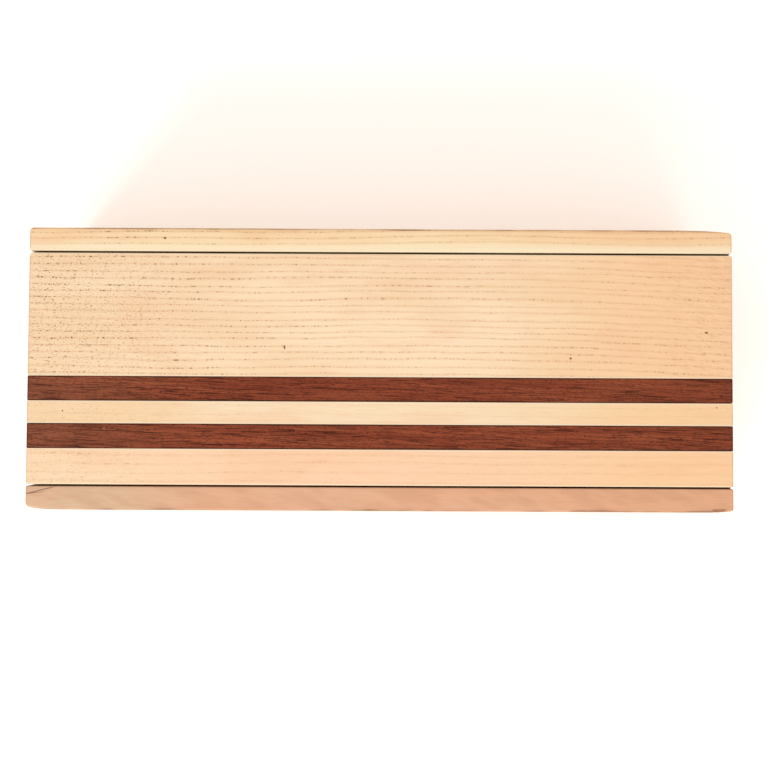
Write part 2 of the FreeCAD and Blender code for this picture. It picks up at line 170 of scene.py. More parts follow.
class Finish:
    """A material in the making, with short names for the nodes that it is mixed from."""

    def __init__(self, name, seed=0.0):
        self.seed = seed
        self.material = bpy.data.materials.new(name)
        self.material.use_nodes = True
        self.tree = self.material.node_tree
        self.shader = self.tree.nodes["Principled BSDF"]
        self.coordinates = self.tree.nodes.new("ShaderNodeTexCoord")
        self.colour = None

    def feed(self, socket, value):
        if isinstance(value, bpy.types.NodeSocket):
            self.tree.links.new(value, socket)
        else:
            socket.default_value = value

    def maths(self, operation, *values):
        node = self.tree.nodes.new("ShaderNodeMath")
        node.operation = operation
        for socket, value in zip(node.inputs, values):
            self.feed(socket, value)
        return node.outputs[0]

    def fold(self, operation, values):
        total = values[0]
        for value in values[1:]:
            total = self.maths(operation, total, value)
        return total

    def add(self, *values):
        return self.fold("ADD", values)

    def times(self, *values):
        return self.fold("MULTIPLY", values)

    def most(self, *values):
        return self.fold("MAXIMUM", values)

    def less(self, value, amount):
        return self.maths("SUBTRACT", value, amount)

    def size(self, value):
        return self.maths("ABSOLUTE", value)

    def length(self, a, b):
        """The length of an arrow whose two legs are a and b."""
        return self.maths("SQRT", self.add(self.times(a, a), self.times(b, b)))

    def step(self, value, start, end, low=0.0, high=1.0):
        """A smooth climb from low to high while value goes from start to end."""
        node = self.tree.nodes.new("ShaderNodeMapRange")
        node.interpolation_type = "SMOOTHSTEP"
        for socket, given in zip(node.inputs, (value, start, end, low, high)):
            self.feed(socket, given)
        return node.outputs[0]

    def fade(self, value, near, far, most=1.0):
        """most where value is under near, falling smoothly to 0 at far."""
        return self.step(value, near, far, most, 0.0)

    def parts(self, vector):
        node = self.tree.nodes.new("ShaderNodeSeparateXYZ")
        self.feed(node.inputs[0], vector)
        return tuple(node.outputs)

    def place(self):
        """The point's place in the box's own frame, in millimetres, as three numbers."""
        scaled = self.tree.nodes.new("ShaderNodeVectorMath")
        scaled.operation = "SCALE"
        self.feed(scaled.inputs[0], self.coordinates.outputs["Object"])
        scaled.inputs["Scale"].default_value = 1 / MM
        return self.parts(scaled.outputs[0])

    def facing(self):
        """How squarely the surface faces along each axis, from 0 to 1."""
        return tuple(self.size(part) for part in self.parts(self.coordinates.outputs["Normal"]))

    def grain(self, point, lengths, detail=2.0, roughness=0.5, seed=0.0):
        """Noise whose features are about as long as lengths, in millimetres, on each axis."""
        joined = self.tree.nodes.new("ShaderNodeCombineXYZ")
        for socket, axis, length in zip(joined.inputs, point, lengths):
            self.feed(socket, self.maths("MULTIPLY_ADD", axis, 1 / length, self.seed + seed))
        node = self.tree.nodes.new("ShaderNodeTexNoise")
        self.feed(node.inputs["Vector"], joined.outputs[0])
        node.inputs["Scale"].default_value = 1.0
        node.inputs["Detail"].default_value = detail
        node.inputs["Roughness"].default_value = roughness
        return node.outputs[0]

    def mix(self, share, under, over):
        node = self.tree.nodes.new("ShaderNodeMix")
        node.data_type = "RGBA"
        sockets = [s for s in node.inputs if s.enabled]
        for socket, value in zip(sockets, (share, under, over)):
            self.feed(socket, value)
        return next(out for out in node.outputs if out.enabled)

    def coat(self, share, over):
        """Lays one more colour over the finish, as thickly as share says."""
        self.colour = self.mix(share, self.colour, over)

    def bump(self, height, distance, strength=1.0):
        """Tilts the surface's shading by a height map. distance is in millimetres."""
        node = self.tree.nodes.new("ShaderNodeBump")
        node.inputs["Strength"].default_value = strength
        node.inputs["Distance"].default_value = distance * MM
        self.feed(node.inputs["Height"], height)
        self.feed(self.shader.inputs["Normal"], node.outputs[0])

    def surface(self, roughness, **uniform):
        self.feed(self.shader.inputs["Base Color"], self.colour)
        self.feed(self.shader.inputs["Roughness"], roughness)
        for name, value in uniform.items():
            self.shader.inputs[name.replace("_", " ")].default_value = value
        return self.material


def paper_finish():
    """White paper with the faintest clouding."""
    finish = Finish("white_paper")
    point = finish.place()
    cloud = finish.grain(point, (160, 160, 160), detail=3)
    fibre = finish.grain(point, (2.5, 2.5, 2.5))
    finish.colour = finish.mix(cloud, (0.92, 0.90, 0.90, 1), (0.94, 0.91, 0.90, 1))
    finish.bump(fibre, 0.05, 0.3)
    return finish.surface(0.9, Specular_IOR_Level=0.2)


paper.data.materials.append(paper_finish())
print("The paper is laid")

# %% [markdown]
# ## Solid maple
# Maple has close, even growth rings, and along each ring its pores show as a row of short brown dashes.
# So a board is treated as a slice of a trunk: the rings are shells round a pith line that lies outside
# the board. Each ring has a number, and the dashes come from noise that is read along the board and
# shifted by that number, so that no two rows break at the same places.

# %% The traits of a maple board
MAPLE = {
    "light": tone(248, 219, 180),
    "warm": tone(246, 208, 164),
    "ring": tone(224, 168, 118),
    "pore": tone(116, 64, 30),
    "sun": tone(248, 198, 150),
    # the colour of the highlight painted along an edge that catches the light
    "highlight_tone": tone(255, 238, 202),
    "spacing": 2.6,  # from ring to ring
    "pith": (-280, -30),  # the pith line's place across the board and in height
    "warp": 1.4,  # how far the rings wander
    "rows": 0.6,  # how dark the dashes are
    "band": 0.10,  # how dark a whole ring is
    "line": 0.30,  # how dark the fine line is that the dashes lie on
    "sunned": 0.6,  # how far the right end has turned to the colour of sun
    "speckle": 0.0,  # stray flecks at the left end
    "bend": 0.0,  # how far the rings turn down at the right end
    "ripple": 0.0,  # slanting ripples at the right end
    "specks": (),  # pin knots, each as (along, across, half length, half width)
    "mottle": 0.0,  # soft patches that lie across the grain
    "scores": (),  # fine dark lines of grain, or painted shade in a chip, each as (along, across, slope, half length, half width)
    "seams": (),  # glue lines, beside which a pale highlight is painted
    "left": None,  # a colour that the left end turns to
    "bleach": None,  # an edge, as (place, reach), along which a highlight is painted
    "dull": None,  # an outer edge, as (place, reach), darkened with painted shade
}
BLUSH = tone(246, 182, 142)
KNOT = tone(88, 56, 30)
# The pale highlight painted beside glue lines.
SEAM_HIGHLIGHT = tone(255, 243, 216)
# SHADE is the colour of the painted shade in the lid's gap.
SHADE = tone(70, 44, 26)
print("A maple board has", len(MAPLE), "traits")

# %% [markdown]
# ### How near an edge is
# Painted shade and highlights lie along a board's edges, so a recipe has to know how near they are.

# %% Measure from the edges


def edge_distances(finish, point, low, high):
    """Distance in millimetres to the nearest face of the board on each axis."""
    distances = []
    for axis, start, end in zip(point, low, high):
        middle, half = (start + end) / 2 / MM, (end - start) / 2 / MM
        distances.append(finish.less(half, finish.size(finish.less(axis, middle))))
    return distances


def rim(finish, distances, reach, wobble):
    """1 on the board's edges, where two faces are near, and 0 on its faces."""
    near = [finish.fade(finish.add(d, wobble), reach * 0.2, reach) for d in distances]
    return finish.most(*(finish.times(near[a], near[b]) for a, b in ((0, 1), (1, 2), (0, 2))))


def gap_shade(finish, point):
    """Painted shade on the upright faces beside the lid's gap, from the lid's underside up."""
    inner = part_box("back_wall")[0].y / MM
    lid_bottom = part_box("lid_wide_maple")[0].z / MM
    off = finish.size(finish.less(finish.size(point[1]), inner - 0.3))
    upright = finish.step(finish.facing()[1], 0.75, 0.95)
    high = finish.step(point[2], lid_bottom - 0.5, lid_bottom + 1.5)
    return finish.times(finish.fade(off, 0.35, 0.6), upright, high)


# The colour printed here is the painted shade for the lid's gap.
print("Wax darkens the wood towards", SHADE[:3])

# %% [markdown]
# ### Rings and pores
# The rings are warped, spaced unevenly as wet and dry years are, and bent down near the right end. The
# dashes come in patches, and are strongest at the left end and on flat faces.

# %% Grow the rings and open the pores


def grow_rings(finish, wood, traits):
    """A point's ring number, how far it is from the ring's middle, and two slow warps."""
    along, across, level = wood
    drift = finish.less(finish.grain(wood, (110, 26, 26), detail=1), 0.5)
    sway = finish.less(finish.grain(wood, (15, 5, 5), detail=2, seed=7), 0.5)
    years = finish.less(finish.grain(wood, (260, 4.5, 4.5), detail=1, seed=9), 0.5)
    bend = finish.step(along, 60, 190, 0.0, traits["bend"])
    wander = finish.add(
        finish.times(drift, traits["warp"] * 2.6), finish.times(sway, traits["warp"] * 0.7)
    )
    shifted = finish.add(across, bend, wander, finish.times(years, traits["spacing"] * 0.9))
    side = finish.less(shifted, traits["pith"][0])
    rise = finish.less(level, traits["pith"][1])
    rings = finish.times(finish.length(side, rise), 1 / traits["spacing"])
    number = finish.maths("FLOOR", rings)
    from_row = finish.size(finish.less(finish.less(rings, number), 0.5))
    return number, from_row, drift, sway


def open_pores(finish, wood, traits, number, from_row):
    """How much of a pore a point is, and the two noises that break the rows up."""
    along, across, level = wood
    row = finish.fade(from_row, 0.045, 0.115)
    row_point = (finish.add(along, finish.times(number, 17.3)), finish.times(number, 5.1), 0.0)
    dash = finish.grain(row_point, (0.95, 1.0, 1.0), detail=2, roughness=0.62, seed=3)
    patch = finish.grain(wood, (26, 7, 7), seed=11)
    left = finish.step(along, 30, -125, 0.42, 1.0)
    flat = finish.step(finish.facing()[2], 0.3, 0.8, 0.12, 1.0)
    strength = finish.times(left, flat, finish.step(patch, 0.30, 0.66, 0.35, 1.0), traits["rows"])
    pores = finish.times(finish.step(dash, 0.50, 0.66), row, strength)

    slant = finish.add(across, finish.times(along, 0.10))
    fleck = finish.grain((along, slant, level), (1.1, 0.44, 0.44), detail=2, seed=19)
    near_left = finish.step(along, -52, -128)
    strew = finish.times(finish.step(fleck, 0.57, 0.72), near_left, traits["speckle"])
    return finish.most(pores, strew), dash, patch


print("A row of pores is", MAPLE["spacing"], "mm from the next")

# %% [markdown]
# ### The colour between the pores
# Slow clouds come first and sun at the right end. Then come the faint rings, the fine line that each row
# of pores lies on, and fibres as thin as a hair.

# %% Tint the wood


def tint(finish, wood, traits, from_row, dash, patch):
    """Colours the wood between its pores. Returns the fibres, which the polish needs too."""
    along, across, level = wood
    hairline = finish.fade(from_row, 0.02, 0.09)
    band = finish.fade(from_row, 0.06, 0.30)
    cloud = finish.grain(wood, (64, 22, 22), seed=29)
    blush = finish.grain(wood, (38, 12, 12), seed=37)
    fibre = finish.grain(wood, (8, 0.45, 0.45), seed=31)
    lean = finish.add(cloud, finish.step(along, 20, 190, 0, 0.35), finish.step(along, -90, -150, 0, 0.12))
    finish.colour = finish.mix(finish.step(lean, 0.36, 0.78), traits["light"], traits["warm"])
    finish.coat(finish.step(along, 30, 120, 0, traits["sunned"]), traits["sun"])
    if traits["left"]:
        finish.coat(finish.step(along, -50, -120, 0, 0.75), traits["left"])
    finish.coat(finish.step(blush, 0.52, 0.76, 0, 0.25), BLUSH)
    finish.coat(finish.times(band, traits["band"]), traits["ring"])
    broken = finish.step(dash, 0.34, 0.58, 0.35, 1.0)
    fainter = finish.step(along, 60, 140, 1.0, 0.5)
    line = finish.times(hairline, broken, fainter, finish.step(patch, 0.25, 0.7, 0.4, 1.0), traits["line"])
    finish.coat(line, traits["ring"])
    finish.coat(finish.step(fibre, 0.44, 0.74, 0, 0.18), traits["ring"])
    if traits["mottle"]:
        crossing = finish.add(along, finish.times(across, 1.6))
        mottle = finish.grain((crossing, across, level), (11, 7, 7), seed=47)
        finish.coat(finish.step(mottle, 0.36, 0.70, 0, traits["mottle"]), traits["ring"])
    if traits["ripple"]:
        rippled = finish.add(across, finish.times(along, 0.26))
        waves = finish.grain((along, rippled, level), (5, 0.5, 0.5), detail=1, seed=41)
        share = finish.times(finish.step(waves, 0.48, 0.66), finish.step(along, 96, 134), traits["ripple"])
        finish.coat(share, traits["ring"])
    return fibre


print("Maple is tinted in layers")

# %% [markdown]
# ### Marks and painted light
# Pin knots, grain lines and a chip's painted shade have places of their own. A highlight is painted
# along a long edge, painted shade along an outer edge, and a pale highlight beside a glue line.

# %% Mark a board and paint light and shade on its edges


def mark(finish, wood, traits):
    """Adds the pin knots, the dark grain lines and the painted shade in a chip."""
    along, across, _ = wood
    for speck_along, speck_across, half_length, half_width in traits["specks"]:
        x_off = finish.times(finish.less(along, speck_along), 1 / half_length)
        y_off = finish.times(finish.less(across, speck_across), 1 / half_width)
        speck = finish.fade(finish.length(x_off, y_off), 0.5, 1.2, 0.92)
        finish.coat(speck, KNOT)
    for score_along, score_across, slope, half_length, half_width in traits["scores"]:
        x_off = finish.less(along, score_along)
        y_off = finish.less(finish.less(across, score_across), finish.times(x_off, slope))
        near = finish.fade(finish.size(x_off), half_length * 0.5, half_length)
        near = finish.times(near, finish.fade(finish.size(y_off), half_width * 0.4, half_width, 0.7))
        finish.coat(near, traits["pore"])


def painted_light(finish, wood, traits, drift, sway):
    """Paints a highlight along a long edge, shade along an outer edge, and a pale highlight beside each glue
    line.
    """
    _, across, level = wood
    depth = finish.less(cad_high[2] / MM, level)
    # Painted highlight along the edge that catches the light.
    if traits["bleach"]:
        place, reach = traits["bleach"]
        away = finish.length(finish.less(across, place), finish.times(depth, 0.6))
        away = finish.add(away, finish.times(drift, reach * 0.45))
        finish.coat(finish.fade(away, 0.2, reach, 0.85), traits["highlight_tone"])
    # Painted shade along an outer edge, with a thin darker line at the very edge.
    if traits["dull"]:
        place, reach = traits["dull"]
        away = finish.add(finish.length(finish.less(across, place), depth), finish.times(sway, 2.0))
        finish.coat(finish.fade(away, 0.1, reach, 0.4), traits["ring"])
        finish.coat(finish.fade(away, 0.25, 0.75, 0.6), traits["pore"])
    # Painted highlight beside each glue line.
    for seam in traits["seams"]:
        away = finish.size(finish.less(across, seam))
        finish.coat(finish.fade(away, 0.3, 0.8, 0.6), SEAM_HIGHLIGHT)


print("Marks and wear go on top")

# %% [markdown]
# ### The whole recipe
# The steps are run in turn. Then the end grain darkens, because it drinks more wax, painted shade darkens
# the board's eased edges, its ends and the faces beside the lid's gap, and the pores sink in.

# %% The recipe for maple


def maple(name, node=None, grain_axis=0, **changes):
    """Sanded maple for one node's board. The node is named only where the finish isn't."""
    traits = {**MAPLE, **changes}
    finish = Finish(name, own_number(name, 97, 1.37))
    point = finish.place()
    wood = (point[grain_axis], point[1 - grain_axis], point[2])
    number, from_row, drift, sway = grow_rings(finish, wood, traits)
    pores, dash, patch = open_pores(finish, wood, traits, number, from_row)
    fibre = tint(finish, wood, traits, from_row, dash, patch)
    finish.coat(pores, traits["pore"])
    mark(finish, wood, traits)
    painted_light(finish, wood, traits, drift, sway)

    end_grain = finish.step(finish.facing()[grain_axis], 0.6, 0.95)
    drunk = finish.mix(finish.step(fibre, 0.3, 0.7, 0.1, 0.5), traits["ring"], traits["pore"])
    finish.coat(finish.times(end_grain, 0.40), drunk)
    wobble = finish.times(finish.less(patch, 0.5), 0.9)
    distances = edge_distances(finish, point, *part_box(node or name))
    # Painted shade: a thin darker band along the board's eased edges.
    edge = rim(finish, distances, 0.9, wobble)
    finish.coat(finish.times(edge, 0.28), traits["ring"])
    # Painted shade: a dark line on the top face at the board's eased ends.
    shaded_end_line = finish.times(finish.fade(distances[grain_axis], 0.1, 0.6, 0.35), finish.facing()[2])
    finish.coat(shaded_end_line, traits["pore"])
    # Painted shade on the faces beside the lid's gap.
    finish.coat(finish.times(gap_shade(finish, point), 0.6), SHADE)

    height = finish.less(finish.times(fibre, 0.35), finish.times(pores, 1.5))
    finish.bump(height, 0.06, 0.55)
    return finish.surface(finish.step(fibre, 0.2, 0.8, 0.46, 0.6), Specular_IOR_Level=0.25)


print("Maple is mixed in five steps")

# %% [markdown]
# ## Oiled walnut
# Walnut is redder and far darker, with long open pores that lie in shoals and lean a little across the
# strip. Noises of different length do it: slow bands and clouds for the heartwood's colour, finer
# streaks for the fibres, and near-black slits and ticks for the pores. Beside each glue line, oil and
# glue have left a line as thin as a pencil's, and at the strip's two ends painted shade darkens the eased
# end.

# %% The recipe for walnut


def walnut(name, node=None, grain_axis=0, seams=(), specks=()):
    """Oiled walnut. seams are the places of its glue lines, and specks its pale pin knots."""
    finish = Finish(name, own_number(name, 89, 2.11))
    point = finish.place()
    along, across, level = point[grain_axis], point[1 - grain_axis], point[2]
    sway = finish.less(finish.grain((along, across, level), (30, 5, 5), detail=1, seed=2), 0.5)
    leaning = finish.add(across, finish.times(along, 0.03), finish.times(sway, 2.2))
    wood = (along, leaning, level)

    band = finish.grain(wood, (70, 2.4, 2.4), roughness=0.55)
    streak = finish.grain(wood, (26, 0.46, 0.46), roughness=0.62, seed=5)
    cloud = finish.grain(wood, (26, 6, 6), seed=13)
    slit = finish.grain(wood, (11, 0.3, 0.3), detail=1, seed=17)
    shoal = finish.grain(wood, (30, 3, 3), detail=1, seed=23)
    tick = finish.grain(wood, (1.3, 0.3, 0.3), detail=1, seed=43)

    finish.colour = finish.mix(finish.step(band, 0.32, 0.68), tone(158, 80, 50), tone(134, 62, 38))
    finish.coat(finish.step(cloud, 0.42, 0.72, 0, 0.5), tone(150, 68, 42))
    finish.coat(finish.step(along, -60, -150, 0, 0.6), tone(146, 90, 64))
    finish.coat(finish.step(along, 40, 150, 0, 0.25), tone(108, 52, 26))
    finish.coat(finish.step(streak, 0.48, 0.66, 0, 0.55), tone(88, 34, 20))
    finish.coat(finish.step(tick, 0.55, 0.67, 0, 0.6), tone(58, 22, 12))
    pores = finish.times(finish.step(slit, 0.585, 0.625), finish.step(shoal, 0.36, 0.52, 0.25, 1.0))
    finish.coat(finish.times(pores, 0.8), tone(58, 20, 12))
    for speck_along, speck_across, radius in specks:
        off = finish.length(finish.less(along, speck_along), finish.less(across, speck_across))
        finish.coat(finish.fade(off, radius * 0.4, radius, 0.7), tone(178, 120, 84))

    # A dark line of glue and oil runs beside each glue line, and painted shade darkens the strip's two eased
    # ends.
    wobble = finish.times(finish.less(shoal, 0.5), 0.7)
    for seam in seams:
        away = finish.add(finish.size(finish.less(across, seam)), wobble)
        finish.coat(finish.fade(away, 0.26, 0.56, 0.85), tone(40, 16, 4))
    distances = edge_distances(finish, point, *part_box(node or name))
    facing = finish.facing()
    # Painted shade at the strip's eased ends.
    shaded_end_line = finish.times(finish.fade(distances[grain_axis], 0.35, 0.75, 0.8), facing[2])
    finish.coat(shaded_end_line, tone(40, 16, 8))
    end_grain = finish.step(facing[grain_axis], 0.6, 0.95)
    end_pores = finish.grain((along, across, level), (2, 0.5, 0.5), detail=1, seed=51)
    finish.coat(finish.times(end_grain, 0.4), tone(70, 34, 20))
    end_pores = finish.times(end_grain, finish.step(end_pores, 0.56, 0.66, 0, 0.7))
    finish.coat(end_pores, tone(34, 12, 6))

    height = finish.less(finish.times(streak, 0.4), finish.times(pores, 1.6))
    finish.bump(height, 0.07, 0.7)
    return finish.surface(finish.step(streak, 0.2, 0.8, 0.44, 0.58), Specular_IOR_Level=0.08)


print("Walnut is mixed as it is needed")

# %% [markdown]
# ## Boards with eased edges
# A plain box would have knife edges. On the real box every edge was eased with sandpaper, and the
# corners that hands meet are rounder. A board here is a row of rounded rectangles strung along the
# grain: each corner has its own radius, noise makes the radius wander, and the rectangles shrink at the
# ends to round those too. The joints are then cut by intersecting the board with its engineering
# solid, which brings every groove and hole along and keeps them exactly where they work.

# %% Saw and ease a board
SKIN = 0.02 * MM  # the board stays this far inside its solid, so that no two faces coincide
CORNER_STEPS = 4
END_MARKS = (0.0, 0.03, 0.12, 0.28, 0.5, 0.8, 1.2, 1.8, 2.6, 4.0, 6.0, 9.0, 13.0)
STATION_GAP = 7.0
LEAST_RADIUS = 0.015
CORNER_SIGNS = ((-1, -1), (1, -1), (1, 1), (-1, 1))  # side and height of each corner, in order


def object_from(mesh, name):
    """An object from a bmesh, which is freed."""
    bmesh.ops.recalc_face_normals(mesh, faces=mesh.faces)
    data = bpy.data.meshes.new(name)
    mesh.to_mesh(data)
    mesh.free()
    return add_object(name, data)


def skin(mesh, rings):
    """Joins rings of points into a closed surface with a face at each end."""
    count = len(rings[0])
    for ring, following in zip(rings, rings[1:]):
        for number in range(count):
            after = (number + 1) % count
            mesh.faces.new((ring[number], ring[after], following[after], following[number]))
    mesh.faces.new(list(reversed(rings[0])))
    mesh.faces.new(rings[-1])


def stations(length):
    """Places along a board, close together at its ends, in millimetres from its start."""
    marks = [mark for mark in END_MARKS if mark < length / 2 - 0.5]
    middle = length - 2 * marks[-1]
    inner = np.linspace(marks[-1], length - marks[-1], max(2, round(middle / STATION_GAP)))
    return marks[:-1] + list(inner) + [length - mark for mark in reversed(marks[:-1])]


def eased_board(name, low, high, corners, end_ease=0.45, grain_axis=0, wander=0.25, worn=()):
    """A board from its box. corners are the four edge radii, in mm, in the order of CORNER_SIGNS.
    worn lists (end, side, depth, length): side's face draws in by depth over length at that end."""
    axes = (grain_axis, 1 - grain_axis, 2)
    start = [(low[axis] + SKIN) / MM for axis in axes]
    size = [(high[axis] - low[axis] - 2 * SKIN) / MM for axis in axes]
    mesh = bmesh.new()
    rings = []
    for mark in stations(size[0]):
        to_end = min(mark, size[0] - mark)
        inset = 0.0
        if to_end < end_ease:
            inset = end_ease - math.sqrt(end_ease**2 - (end_ease - to_end) ** 2)
        draw = {-1: 0.0, 1: 0.0}
        for end, side, depth, length in worn:
            reach = mark if end < 0 else size[0] - mark
            if reach < length:
                draw[side] += depth * (1 - math.sqrt(1 - (1 - reach / length) ** 2))
        ring = []
        for number, ((side, top), radius) in enumerate(zip(CORNER_SIGNS, corners)):
            where = Vector(((start[0] + mark) * 0.06, start[1] * 0.1 + number * 9.1, side * 3.3))
            radius = max(radius * (1 + wander * noise.noise(where)), inset + LEAST_RADIUS)
            centre = (
                radius + draw[-1] if side < 0 else size[1] - radius - draw[1],
                radius if top < 0 else size[2] - radius,
            )
            for corner_step in range(CORNER_STEPS + 1):
                angle = math.pi + (number + corner_step / CORNER_STEPS) * math.pi / 2
                reach = radius - inset
                spot = Vector()
                spot[axes[0]] = (start[0] + mark) * MM
                spot[axes[1]] = (start[1] + centre[0] + reach * math.cos(angle)) * MM
                spot[axes[2]] = (start[2] + centre[1] + reach * math.sin(angle)) * MM
                ring.append(mesh.verts.new(spot))
        rings.append(ring)
    skin(mesh, rings)
    return object_from(mesh, name)


print("Boards stay", SKIN / MM, "mm inside their solids")

# %% [markdown]
# ### Cut the joints and sand
# The engineering mesh has split corners, and a cut needs a closed solid, so it is welded first. Sanding
# then keeps the real edges crisp and evens out the shading between them.

# %% Weld, cut and sand
WELD_REACH = 1e-6
SAND_REACH = 2e-6
FLAT_ANGLE = math.radians(0.5)
FACE_WEIGHT = 80


def welded_mesh(node):
    """A node's engineering mesh with its split corners joined."""
    mesh = bmesh.new()
    mesh.from_mesh(frame["nodes"][node].data)
    bmesh.ops.remove_doubles(mesh, verts=mesh.verts, dist=WELD_REACH)
    return mesh


def welded_copy(node):
    """A closed copy of a node's engineering solid."""
    mesh = welded_mesh(node)
    bmesh.ops.dissolve_limit(mesh, angle_limit=FLAT_ANGLE, verts=mesh.verts, edges=mesh.edges)
    return object_from(mesh, node + "_solid")


def bake_modifiers(piece):
    """Replaces a piece's mesh by the mesh that its modifiers make."""
    graph = bpy.context.evaluated_depsgraph_get()
    made = bpy.data.meshes.new_from_object(piece.evaluated_get(graph))
    piece.modifiers.clear()
    piece.data = made


def cut_with(piece, operation, tool):
    """Intersects a piece with a tool or takes the tool away from it. The tool is then thrown out."""
    cut = piece.modifiers.new("cut", "BOOLEAN")
    cut.operation = operation
    cut.solver = "EXACT"
    cut.object = tool
    bake_modifiers(piece)
    bpy.data.objects.remove(tool)


def sand(piece, sharp=32):
    """Cleans a cut mesh, keeps its real edges crisp and makes its faces shade flat and even."""
    mesh = bmesh.new()
    mesh.from_mesh(piece.data)
    bmesh.ops.remove_doubles(mesh, verts=mesh.verts, dist=SAND_REACH)
    bmesh.ops.dissolve_degenerate(mesh, edges=mesh.edges, dist=SAND_REACH)
    for edge in mesh.edges:
        edge.smooth = len(edge.link_faces) == 2 and edge.calc_face_angle() < math.radians(sharp)
    for face in mesh.faces:
        face.smooth = True
    mesh.to_mesh(piece.data)
    mesh.free()
    weighted = piece.modifiers.new("even shading", "WEIGHTED_NORMAL")
    weighted.keep_sharp = True
    weighted.weight = FACE_WEIGHT
    bake_modifiers(piece)


print("Corners closer than", WELD_REACH / MM, "mm are welded")

# %% [markdown]
# ### Fit a board to its node
# A piece rides on its node's body, takes its material slot and stands for it, and so moves with the joint.

# %% Fit a board


def fit(piece, node, material):
    """Gives a finished piece its material, body and slot, and lets it stand for its node."""
    piece.data.materials.clear()
    piece.data.materials.append(material)
    bodies = frame["record"]["behaviour"]["bodies"]
    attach(piece, next(body for body, members in bodies.items() if node in members))
    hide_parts(node)
    return piece


def joined_board(node, corners, material, chips=(), **ways):
    """A sanded board with all of its node's grooves and holes, and a few small chips."""
    board = eased_board(node + "_board", *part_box(node), corners, **ways)
    cut_with(board, "INTERSECT", welded_copy(node))
    for centre, radii in chips:
        cut_with(board, "DIFFERENCE", splinter(node + "_splinter", centre, radii))
    sand(board)
    return fit(board, node, material)


def splinter(name, centre, radii):
    """A ragged pebble, in millimetres, that is taken out of an edge to leave a chip."""
    mesh = bmesh.new()
    bmesh.ops.create_icosphere(mesh, subdivisions=2, radius=1.0)
    for vertex in mesh.verts:
        rough = 1 + 0.35 * noise.noise(vertex.co * 1.7 + Vector(centre))
        vertex.co = Vector(c + v * r * rough for c, v, r in zip(centre, vertex.co, radii)) * MM
    return object_from(mesh, name)


print("The frame has", len(frame["nodes"]), "nodes to dress")

# %% [markdown]
# ## The two side walls
# Both walls are one plain maple board each. The back wall comes from the same pale plank as the lid, and
# a highlight is painted along its inner edge, where the eased edge catches the light. The front wall is
# another plank, pinker, darker and almost without figure. Both walls get painted shade along their outer
# edges. Handling has drawn in the walls' outer corners, so those are worn deepest, and a splinter or two is
# missing from the edges.

# %% Front and back walls
box_end = cad_high[0] / MM
box_side = cad_high[1] / MM
box_top = cad_high[2] / MM
wall_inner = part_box("back_wall")[0].y / MM

back_maple = maple(
    "back_wall_maple",
    "back_wall",
    light=tone(255, 226, 182),
    warm=tone(250, 211, 163),
    pith=(-90, -20),
    spacing=2.2,
    rows=1.0,
    band=0.2,
    sun=tone(255, 208, 160),
    sunned=0.3,
    specks=((-86.0, 52.0, 0.6, 0.5),),
    # A highlight is painted along the inner edge, and shade along the outer edge.
    bleach=(wall_inner, 5.4),
    dull=(box_side, 2.4),
)
back_wall = joined_board(
    "back_wall",
    (0.4, 1.0, 1.0, 0.6),
    back_maple,
    worn=((-1, 1, 1.2, 1.5), (1, 1, 1.4, 22.0), (1, 1, 0.6, 1.2), (-1, -1, 0.5, 0.7), (1, -1, 0.6, 0.9)),
    chips=(((box_end - 22.4, box_side - 0.1, box_top), (1.0, 0.6, 1.6)),),
)

front_maple = maple(
    "front_wall_maple",
    "front_wall",
    light=tone(232, 178, 141),
    warm=tone(233, 172, 134),
    left=tone(219, 187, 152),
    ring=tone(186, 132, 98),
    pore=tone(112, 72, 48),
    sun=tone(232, 174, 134),
    pith=(60, -240),
    spacing=6.5,
    rows=0.10,
    band=0.22,
    mottle=0.26,
    sunned=0.8,
    scores=(
        (-134.4, -48.5, 0.25, 7.5, 0.34),
        (-136.2, -49.4, 0.10, 4.5, 0.2),
        # painted shade in the chip at the right end
        (134.2, -54.9, 0.03, 3.6, 0.35),
    ),
    # Painted shade along the outer edge.
    dull=(-box_side, 1.8),
)
front_wall = joined_board(
    "front_wall",
    (1.0, 0.4, 0.45, 1.2),
    front_maple,
    worn=((-1, -1, 1.6, 13.0), (-1, -1, 0.7, 1.2), (1, -1, 0.9, 11.0), (-1, 1, 0.4, 0.6), (1, 1, 0.4, 0.6)),
    chips=(((box_end - 5.5, -box_side + 0.9, box_top), (3.0, 0.45, 0.5)),),
)
print("Faces:", len(back_wall.data.polygons), "in the back wall,", len(front_wall.data.polygons), "in front")

# %% [markdown]
# ## The lid
# The lid is a sandwich on edge: wide maple, walnut, a slim maple, walnut and a last maple, planed flush
# after gluing. Inside joints stay sharp, because the plane ran over them. Only the lid's outer edges
# are eased. The wide strip was cut near a knot, so its rings turn down at the right end.

# %% Glue up the five strips
TIGHT = 0.05
EASED = 0.5
seams = [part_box(node)[end].y / MM for node in ("lid_front_walnut", "lid_back_walnut") for end in (0, 1)]
lid_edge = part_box("lid_wide_maple")[1].y / MM

